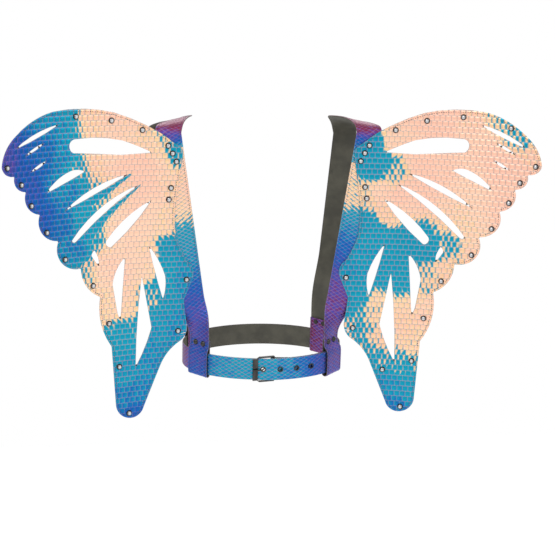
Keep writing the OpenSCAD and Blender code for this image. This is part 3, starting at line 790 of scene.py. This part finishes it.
def build_stitches():
    s = sizes()
    thread = mats()["thread"]
    pitch, dia, inset = s.stitch / MM, s.thread / MM, s.inset / MM
    line, ok = inset_line(OUTLINE, inset)
    for side, word in ((1, "right"), (-1, "left")):
        def sewn(mask, height):
            out = []
            for run in split_runs(line, ok & mask):
                n = np.full(len(run), height)
                a, b = on_wing(run, n, side), on_wing(run, n + 1, side)
                out.append(thread_run(a / MM, (b - a) / MM, pitch, dia))
            return [(v * MM, f) for v, f in out]
        inner = (line[:, 0] < FOLD_U - SEAM_END) & (line[:, 1] > FREE_V + SEAM_LOW)
        outer = line[:, 0] > FOLD_U + SEAM_END
        joined(f"wing_{word}_stitches", sewn(outer, WING_SEAM), thread, "wing_" + word)
        joined(f"root_{word}_stitches", sewn(inner, ROOT_SEAM), thread, "harness")
        p, w, _ = smooth_path(*strap_stations(back_loop(side)), 2.0)
        w, nn = strip_axes(p, w)
        runs = []
        for c in (-1, 1):
            q = p + w * c * (STRAP_W / 2 - inset) - nn * .02
            m = nn.copy()
            q[:, 0] *= side
            m[:, 0] *= side
            v, f = thread_run(q, m, pitch, dia)
            runs.append((v * MM, f))
        joined(f"strap_{word}_stitches", runs, thread, "harness")


# ---- finishes --------------------------------------------------------------------


class Nodes:
    """Short hand for building a node tree. A value is a number, a colour or the
    output socket of another node."""

    def __init__(self, tree):
        self.tree = tree

    def feed(self, value, socket):
        if isinstance(value, bpy.types.NodeSocket):
            self.tree.links.new(value, socket)
        elif isinstance(value, (int, float)):
            socket.default_value = value
        else:
            socket.default_value = (*value, 1)

    def fill(self, node, values):
        for key, value in values.items():
            self.feed(value, node.inputs[key])

    def new(self, kind, values=None, **settings):
        node = self.tree.nodes.new(kind)
        for key, setting in settings.items():
            setattr(node, key, setting)
        self.fill(node, values or {})
        return node

    def math(self, op, *values, clamp=False):
        return self.new("ShaderNodeMath", dict(enumerate(values)), operation=op,
                        use_clamp=clamp).outputs[0]

    def add(self, a, b, clamp=False):
        return self.math("ADD", a, b, clamp=clamp)

    def sub(self, a, b, clamp=False):
        return self.math("SUBTRACT", a, b, clamp=clamp)

    def mul(self, a, b, clamp=False):
        return self.math("MULTIPLY", a, b, clamp=clamp)

    def step(self, x, lo, hi):
        return self.new("ShaderNodeMapRange", {"Value": x, "From Min": lo, "From Max": hi},
                        interpolation_type="SMOOTHSTEP").outputs["Result"]

    def mix(self, f, a, b, blend="MIX"):
        return self.new("ShaderNodeMix", {0: f, 6: a, 7: b}, data_type="RGBA",
                        blend_type=blend, clamp_factor=True).outputs[2]

    def ramp(self, x, stops):
        node = self.new("ShaderNodeValToRGB", {"Fac": x})
        r = node.color_ramp
        while len(r.elements) > 1:
            r.elements.remove(r.elements[-1])
        r.elements[0].position = stops[0][0]
        r.elements[0].color = (*stops[0][1], 1)
        for pos, c in stops[1:]:
            r.elements.new(pos).color = (*c, 1)
        return node.outputs["Color"]

    def noise(self, scale, detail=2.0):
        """Cloudy noise over the object, around one half."""
        place = self.new("ShaderNodeTexCoord").outputs["Object"]
        return self.new("ShaderNodeTexNoise", {"Vector": place, "Scale": scale,
                                               "Detail": detail}).outputs[0]

    def named(self, name, output):
        return self.new("ShaderNodeAttribute", attribute_name=name).outputs[output]

    def use(self, tree, **values):
        """Outputs of a node group that is given these inputs."""
        return self.new("ShaderNodeGroup", values, node_tree=tree).outputs

    def bump(self, height, strength, distance):
        return self.new("ShaderNodeBump", {"Height": height, "Strength": strength,
                                           "Distance": distance}).outputs[0]


def group(name, ins, outs):
    """Node group with number inputs and their defaults; its outputs are numbers,
    apart from one called Color."""
    tree = bpy.data.node_groups.new(name, "ShaderNodeTree")
    kinds = {"Color": "NodeSocketColor"}
    for key, value in ins.items():
        socket = tree.interface.new_socket(key, in_out="INPUT", socket_type="NodeSocketFloat")
        socket.default_value = value
    for key in outs:
        tree.interface.new_socket(key, in_out="OUTPUT",
                                  socket_type=kinds.get(key, "NodeSocketFloat"))
    b = Nodes(tree)
    return tree, b, b.new("NodeGroupInput").outputs, b.new("NodeGroupOutput")


CELL_OUTPUTS = ("Groove", "Lean", "Chance", "Dome")


def cell(b, x):
    """Number of the cell that x lies in, and the place in it from -1 to 1."""
    number = b.math("FLOOR", x)
    return number, b.mul(b.sub(b.sub(x, number), .5), 2.0)


def cell_effect(b, out, first, second, power, groove):
    """Outputs of one embossed cell from its two number and place pairs: r is the
    power sum |x|^p + |y|^p to the 1/p. Groove is 1 between cells, Lean runs from -1
    to 1 across each cell, Chance is one random value per cell."""
    (col, x), (row, y) = first, second
    px, py = (b.math("POWER", b.math("ABSOLUTE", v), power) for v in (x, y))
    r = b.math("POWER", b.add(px, py), 1 / power)
    number = b.new("ShaderNodeCombineXYZ", {0: col, 1: row}).outputs[0]
    chance = b.new("ShaderNodeTexWhiteNoise", {"Vector": number}, noise_dimensions="2D")
    b.fill(out, {"Groove": b.step(r, groove, 1.0), "Lean": x,
                 "Dome": b.sub(1.0, b.math("POWER", r, 3.0), True),
                 "Chance": chance.outputs["Value"]})


def scale_emboss():
    """Embossed scales: rows of rounded squares, every other row moved by half a
    scale."""
    tree, b, i, out = group("scale_emboss", {"X": 0, "Y": 0}, CELL_OUTPUTS)
    row = cell(b, i["Y"])
    odd = b.math("FLOORED_MODULO", row[0], 2.0)
    cell_effect(b, out, cell(b, b.add(i["X"], b.mul(odd, .5))), row, 6.0, .78)
    return tree


def net_emboss():
    """Embossed net: diamonds x + y and x - y with a groove on both families of
    lines."""
    tree, b, i, out = group("net_emboss", {"X": 0, "Y": 0}, CELL_OUTPUTS)
    cell_effect(b, out, cell(b, b.add(i["X"], i["Y"])), cell(b, b.sub(i["X"], i["Y"])),
                5.0, .72)
    return tree


def foil_colour():
    """Foil colours over the tone, and the lighter or darker colour of the grooves,
    which lie at another angle to the light."""
    c = colours()
    tree, b, i, out = group("foil_colour", {"Tone": 0, "Groove": 0, "Line": 1}, ("Color",))
    face = b.ramp(i["Tone"], [
        (0, c.peach), (.1, c.peach), (.17, c.cream), (.2, c.cream), (.225, c.turquoise),
        (.37, c.turquoise), (.47, c.azure), (.58, c.cobalt), (.74, c.violet),
        (.88, c.maroon), (1, c.maroon)])
    line = b.ramp(i["Tone"], [
        (0, (.42, .37, .36)), (.15, (.2, .34, .37)), (.22, (.14, .36, .42)),
        (.28, (.38, .3, .36)), (.47, (.16, .2, .42)), (.6, (.06, .1, .42)),
        (.78, (.3, .16, .3)), (1, (.14, .03, .06))])
    flush = b.mix(b.step(b.noise(14), .35, .65), (1, 1, 1), (1, .91, .95))
    face = b.mix(1.0, face, flush, "MULTIPLY")
    groove = b.mul(i["Groove"], i["Line"], True)
    b.fill(out, {"Color": b.mix(groove, face, line)})
    return tree


def edge_wear():
    """Rubbed edge: 1 at the edge of a sheet, fading over a reach broken by noise."""
    tree, b, i, out = group("edge_wear", {"Distance": 1, "Reach": .8}, ("Mask",))
    reach = b.mul(i["Reach"], b.add(b.noise(160, 3), .4))
    b.fill(out, {"Mask": b.sub(1.0, b.math("DIVIDE", i["Distance"], reach), True)})
    return tree


def leather_fibre():
    """Fine pebbled leather: small noise cells for height and a cloudy stain."""
    tree, b, i, out = group("leather_fibre", {"Scale": 900}, ("Height", "Cloud"))
    place = b.new("ShaderNodeTexCoord").outputs["Object"]
    pebbles = b.new("ShaderNodeTexVoronoi", {"Vector": place, "Scale": i["Scale"]})
    b.fill(out, {"Height": pebbles.outputs["Distance"], "Cloud": b.noise(42, 5)})
    return tree


def material(name):
    m = bpy.data.materials.new(name)
    m.use_nodes = True
    shader = next(n for n in m.node_tree.nodes if n.type == "BSDF_PRINCIPLED")
    return m, Nodes(m.node_tree), shader


def foil_material(name, emboss, groups, spread, lean, line):
    """Foil leather: tone from the sheet, which holds painted reflection colour, plus the lean of each scale
    as painted shading and the chance of each scale, the groove colour between scales, rubbed edges and the
    relief of the embossing."""
    m, b, shader = material(name)
    at = b.new("ShaderNodeSeparateXYZ", {0: b.named("sheet", "Vector")}).outputs
    e = b.use(emboss, X=at[0], Y=at[1])
    fibre = b.use(groups["fibre"], Scale=1500.0)
    tone = b.add(b.named("tone", "Fac"), b.mul(b.sub(e["Chance"], .5), spread))
    # Painted shading: the tone shifts across each scale with its lean, as light falls differently on its two
    # sides.
    tone = b.add(tone, b.mul(e["Lean"], lean))
    tone = b.add(tone, b.mul(b.sub(fibre["Cloud"], .5), .07), True)
    foil = b.use(groups["foil"], Tone=tone, Groove=e["Groove"], Line=line)["Color"]
    worn = b.use(groups["wear"], Distance=at[2], Reach=.7)["Mask"]
    b.fill(shader, {
        "Base Color": b.mix(b.mul(worn, .5), foil, (.26, .22, .22)),
        "Roughness": b.add(b.mul(e["Groove"], .12), b.add(.3, b.mul(fibre["Cloud"], .1))),
        "Metallic": .72, "Specular IOR Level": .25, "Coat Weight": .07,
        "Coat Roughness": .22,
        "Normal": b.bump(b.add(e["Dome"], b.mul(fibre["Height"], .05)), .8, .0005)})
    return m


def shade(colour, share):
    return tuple(min(1, x * share) for x in colour)


_mats = {}


def mats():
    if _mats:
        return _mats
    c = colours()
    groups = {"foil": foil_colour(), "wear": edge_wear(), "fibre": leather_fibre()}
    _mats["scale foil"] = foil_material("scale_foil", scale_emboss(), groups, .05, .06, .7)
    _mats["net foil"] = foil_material("net_foil", net_emboss(), groups, .09, .06, .75)

    _mats["lining"], b, shader = material("lining_leather")
    f = b.use(groups["fibre"], Scale=1100.0)
    stain = b.step(f["Cloud"], .3, .7)
    b.fill(shader, {"Base Color": b.mix(stain, shade(c.lining, .72), shade(c.lining, 1.22)),
                    "Roughness": b.add(.62, b.mul(f["Cloud"], .2)),
                    "Normal": b.bump(f["Height"], .35, .0003)})

    _mats["thread"], b, shader = material("sewing_thread")
    f = b.use(groups["fibre"], Scale=2600.0)
    b.fill(shader, {"Base Color": b.mix(f["Cloud"], shade(c.thread, .7), c.thread),
                    "Roughness": .7, "Normal": b.bump(f["Height"], .3, .0001)})

    # Rivet domes: a painted highlight on the crown and a painted dark reflection towards the rim, from the
    # point attribute that runs from rim to crown.
    _mats["rubbed nickel"], b, shader = material("nickel_painted_glint")
    f = b.use(groups["fibre"], Scale=900.0)
    crown = b.step(b.add(b.named("rub", "Fac"), b.mul(f["Cloud"], .1)), .3, .9)
    b.fill(shader, {"Base Color": b.mix(crown, (.035, .033, .033), (.62, .62, .63)),
                    "Roughness": b.add(.2, b.mul(f["Cloud"], .15)), "Metallic": 1.0})

    for key, tint, rough in (("gunmetal", .42, .2), ("dark gunmetal", .22, .16)):
        _mats[key], b, shader = material(key.replace(" ", "_"))
        f = b.use(groups["fibre"], Scale=700.0)
        dark, light = shade(c.nickel, tint * .6), shade(c.nickel, tint * 1.3)
        b.fill(shader, {"Base Color": b.mix(b.step(f["Cloud"], .3, .7), dark, light),
                        "Roughness": b.add(rough, b.mul(f["Cloud"], .18)),
                        "Metallic": 1.0, "Normal": b.bump(f["Cloud"], .12, .0002)})
    return _mats


# ---- metal -----------------------------------------------------------------------

WING_RIVETS = [(119, 78), (66, 62), (21, 39.5), (233.5, 27), (217, -3), (207.5, -37.5),
               (191, -83.5), (170, -131.5), (133.5, -183.5), (118, -249), (112.5, -322),
               (108.5, -401), (11, -286)]
EXTRA_RIVETS = [(190, 76), (70, -346)]
ROOT_RIVETS = [(-15, 9), (-20, -4), (-24, -17.5), (-10, -57), (-4.2, -74.5), (-14, -206)]
DOME_R, DOME_H = 4.75, 3.2
WING_TOP, ROOT_TOP = 3.2, 2.1


def domes(name, spots, level, side, body, node, material_):
    """Rivet domes at plan points: rings at radius R sin a, height H + S (cos a - 1)
    for the sphere of radius S = (R^2 + H^2) / 2H, closed below at the leather. Their point
    attribute runs from 0 at the rim to 1 on the crown; it paints a highlight on the crown and a dark
    reflection at the rim."""
    ball = (DOME_R ** 2 + DOME_H ** 2) / (2 * DOME_H)
    amax = math.asin(DOME_R / ball)
    a = np.linspace(.04, 1, 8) * amax
    radius = np.concatenate([ball * np.sin(a), [DOME_R, DOME_R * .9, .3]])
    height = np.concatenate([DOME_H + ball * (np.cos(a) - 1), [-.02, -.06, -.06]])
    rub = np.concatenate([1 - a / amax, [0, 0, 0]])
    seg = 20
    k = 2 * math.pi * np.arange(seg) / seg
    uv = np.array(spots, float)
    n0 = np.full(len(uv), float(level))
    p = on_wing(uv, n0, side) / MM
    slope = np.clip((uv[:, 0] - FOLD_U) / (sizes().bend / MM), 0, 1)
    m = wing_axes()
    n = np.column_stack([-slope, 0 * slope, np.sqrt(1 - slope ** 2)]) @ m.T
    n[:, 0] *= side
    e1 = np.tile(m[:, 1] * np.array([side, 1, 1]), (len(uv), 1))
    e2 = np.cross(n, e1)
    ring = e1[:, None, :] * np.cos(k)[:, None] + e2[:, None, :] * np.sin(k)[:, None]
    verts = (p[:, None, None, :] + n[:, None, None, :] * height[None, :, None, None]
             + ring[:, None, :, :] * radius[None, :, None, None])
    rings = len(radius)
    i, j = np.indices((rings - 1, seg))
    j2 = (j + 1) % seg
    body_faces = np.stack([i * seg + j, (i + 1) * seg + j, (i + 1) * seg + j2, i * seg + j2],
                          -1).reshape(-1, 4)
    cap = np.array([[0, t, t + 1, t + 2] for t in range(1, seg - 2, 2)])
    last = (rings - 1) * seg
    base = last + np.array([[0, t + 2, t + 1, t] for t in range(1, seg - 2, 2)])
    one = np.concatenate([body_faces, cap, base])
    faces = (one[None] + rings * seg * np.arange(len(uv))[:, None, None]).reshape(-1, 4)
    values = {"rub": np.tile(np.repeat(rub, seg), len(uv))}
    piece = new_piece(name, verts.reshape(-1, 3) * MM, faces, material_, 50, values)
    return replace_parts(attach(piece, body), node)


BRIGHT = ("root_{}_rivet_backs", "wing_{}_rivet_backs")
DARK = ("chape_rivet_caps", "chape_rivet_backs", "belt_eyelets", "loop_rivet_caps",
        "loop_rivet_backs", "buckle_prong")


def rounded_copy(node, material_, width):
    """Merged copy of a CAD node whose hard edges are rounded by a bevel."""
    src = frame["nodes"][node]
    mesh = src.data.copy()
    bm = bmesh.new()
    bm.from_mesh(mesh)
    bmesh.ops.remove_doubles(bm, verts=bm.verts, dist=2e-6)
    bmesh.ops.dissolve_limit(bm, angle_limit=math.radians(1), verts=bm.verts, edges=bm.edges)
    bm.to_mesh(mesh)
    bm.free()
    mesh.materials.clear()
    mesh.materials.append(material_)
    mesh.shade_smooth()
    mesh.set_sharp_from_angle(angle=math.radians(32))
    piece = bpy.data.objects.new(node + "_rounded", mesh)
    bpy.context.scene.collection.objects.link(piece)
    mod = piece.modifiers.new("Rounded edges", "BEVEL")
    mod.width = width
    mod.segments = 2
    mod.limit_method = "ANGLE"
    mod.angle_limit = math.radians(40)
    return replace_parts(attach(piece, body_of(src)[0]), node)


def dress(node, material_):
    data = frame["nodes"][node].data
    data.materials.clear()
    data.materials.append(material_)
    data.shade_smooth()


def build_metal():
    m = mats()
    for side in ("right", "left"):
        for pattern in BRIGHT:
            dress(pattern.format(side), m["gunmetal"])
        x = 1 if side == "right" else -1
        spots = WING_RIVETS + (EXTRA_RIVETS if x > 0 else [])
        domes(f"wing_{side}_domes", spots, WING_TOP, x, "wing_" + side,
              f"wing_{side}_rivet_caps", m["rubbed nickel"])
        domes(f"root_{side}_domes", ROOT_RIVETS, ROOT_TOP, x, "harness",
              f"root_{side}_rivet_caps", m["rubbed nickel"])
    for node in DARK:
        dress(node, m["dark gunmetal"])
    rounded_copy("buckle_frame", m["dark gunmetal"], .0005)


# ---- stage -----------------------------------------------------------------------


WORLD = 1.0
FLOOR_Z = -1.05
LAMPS = (
    ("key", (-1.4, -2.4, 1.9), (1.6, 1.2), 22),
    ("fill", (1.8, -2.0, 1.0), (1.8, 1.4), 9),
    ("rim", (0.4, 2.4, 2.0), (1.6, 1.0), 12),
)
LAMP_AIM = (0.0, 0.0, 0.1)
EYE, EYE_AIM, LENS = (-.321, -2.511, .3528), (.0207, -.0447, .1239), 101.3


def placed(name, data, place, aim):
    """Object at a place that looks along its -z axis towards aim."""
    item = bpy.data.objects.new(name, data)
    item.location = place
    item.rotation_euler = (Vector(aim) - Vector(place)).to_track_quat("-Z", "Y").to_euler()
    bpy.context.scene.collection.objects.link(item)
    return item


def build_stage():
    scene = bpy.context.scene
    pale = colours().floor
    n = 24
    x, y = np.meshgrid(np.linspace(-4, 4, n), np.linspace(-4.5, 4.5, n), indexing="ij")
    r, k = np.indices((n - 1, n - 1))
    a = (r * n + k).ravel()
    quads = np.column_stack([a, a + n, a + n + 1, a + 1])
    m, b, shader = material("pale_floor")
    noise = b.new("ShaderNodeTexNoise", {"Scale": 3}).outputs[0]
    b.fill(shader, {"Base Color": b.mix(noise, shade(pale, .97), pale), "Roughness": .9})
    points = np.column_stack([x.ravel(), y.ravel(), np.full(x.size, FLOOR_Z)])
    new_piece("floor", points, quads, m)

    world = bpy.data.worlds.new("pale_room")
    world.use_nodes = True
    b = Nodes(world.node_tree)
    where = b.new("ShaderNodeTexCoord").outputs["Generated"]
    up = b.new("ShaderNodeSeparateXYZ", {0: where}).outputs[2]
    room = b.ramp(b.add(b.mul(up, .5), .5), [
        (0, (.42, .42, .42)), (.42, (.62, .62, .62)), (.62, (.98, .98, .98)),
        (1, (1.15, 1.15, 1.15))])
    seen = b.new("ShaderNodeLightPath").outputs["Is Camera Ray"]
    b.fill(world.node_tree.nodes["Background"],
           {"Color": b.mix(seen, room, (1, 1, 1)), "Strength": WORLD})
    scene.world = world
    scene.view_settings.view_transform = "Standard"

    for name, place, size, power in LAMPS:
        lamp = bpy.data.lights.new(name, "AREA")
        lamp.shape = "RECTANGLE"
        lamp.size, lamp.size_y = size
        lamp.energy = power
        placed(name, lamp, place, LAMP_AIM)

    cam = bpy.data.cameras.new("camera")
    cam.lens = LENS
    cam.sensor_width = 36
    cam.clip_end = 30
    scene.camera = placed("camera", cam, EYE, EYE_AIM)


# ---- operators and panel -----------------------------------------------------------


class Step:
    """One building step as an operator."""

    def execute(self, context):
        self.build()
        return {"FINISHED"}


class WINGS_OT_panels(Step, bpy.types.Operator):
    """Cut wing panels, folds and roots with their linings"""
    bl_idname = "harness_wings.panels"
    bl_label = "Wing panels"
    build = staticmethod(build_wings)


class WINGS_OT_straps(Step, bpy.types.Operator):
    """Shoulder straps looped round the belt"""
    bl_idname = "harness_wings.straps"
    bl_label = "Shoulder straps"
    build = staticmethod(build_straps)


class WINGS_OT_belt(Step, bpy.types.Operator):
    """Waist belt with its turned end and tail"""
    bl_idname = "harness_wings.belt"
    bl_label = "Waist belt"
    build = staticmethod(build_belt)


class WINGS_OT_stitches(Step, bpy.types.Operator):
    """Stitch lines inside the edges of wings and straps"""
    bl_idname = "harness_wings.stitches"
    bl_label = "Stitches"
    build = staticmethod(build_stitches)


class WINGS_OT_metal(Step, bpy.types.Operator):
    """Finish of the rivets, eyelets and buckle"""
    bl_idname = "harness_wings.metal"
    bl_label = "Rivets and buckle"
    build = staticmethod(build_metal)


class WINGS_OT_stage(Step, bpy.types.Operator):
    """Pale floor, soft light and camera"""
    bl_idname = "harness_wings.stage"
    bl_label = "Stage"
    build = staticmethod(build_stage)


class WINGS_PT_panel(bpy.types.Panel):
    """Steps, sizes and colours of the wings"""
    bl_label = "Harness Wings"
    bl_idname = "WINGS_PT_panel"
    bl_space_type = "VIEW_3D"
    bl_region_type = "UI"
    bl_category = "Wings"

    def draw(self, context):
        col = self.layout.column()
        for step in STEPS:
            col.operator(step.bl_idname)
        for holder in (sizes(), colours()):
            for key in holder.__annotations__:
                col.prop(holder, key)


STEPS = (WINGS_OT_panels, WINGS_OT_straps, WINGS_OT_belt, WINGS_OT_stitches,
         WINGS_OT_metal, WINGS_OT_stage)
CLASSES = (WingSizes, WingColours) + STEPS + (WINGS_PT_panel,)


def register():
    for cls in CLASSES:
        bpy.utils.register_class(cls)
    bpy.types.Scene.harness_wing_sizes = PointerProperty(type=WingSizes)
    bpy.types.Scene.harness_wing_colours = PointerProperty(type=WingColours)


def unregister():
    del bpy.types.Scene.harness_wing_colours
    del bpy.types.Scene.harness_wing_sizes
    for cls in reversed(CLASSES):
        bpy.utils.unregister_class(cls)


def main():
    register()
    bpy.ops.harness_wings.panels()
    bpy.ops.harness_wings.straps()
    bpy.ops.harness_wings.belt()
    bpy.ops.harness_wings.stitches()
    bpy.ops.harness_wings.metal()
    bpy.ops.harness_wings.stage()


if __name__ == "__main__":
    main()
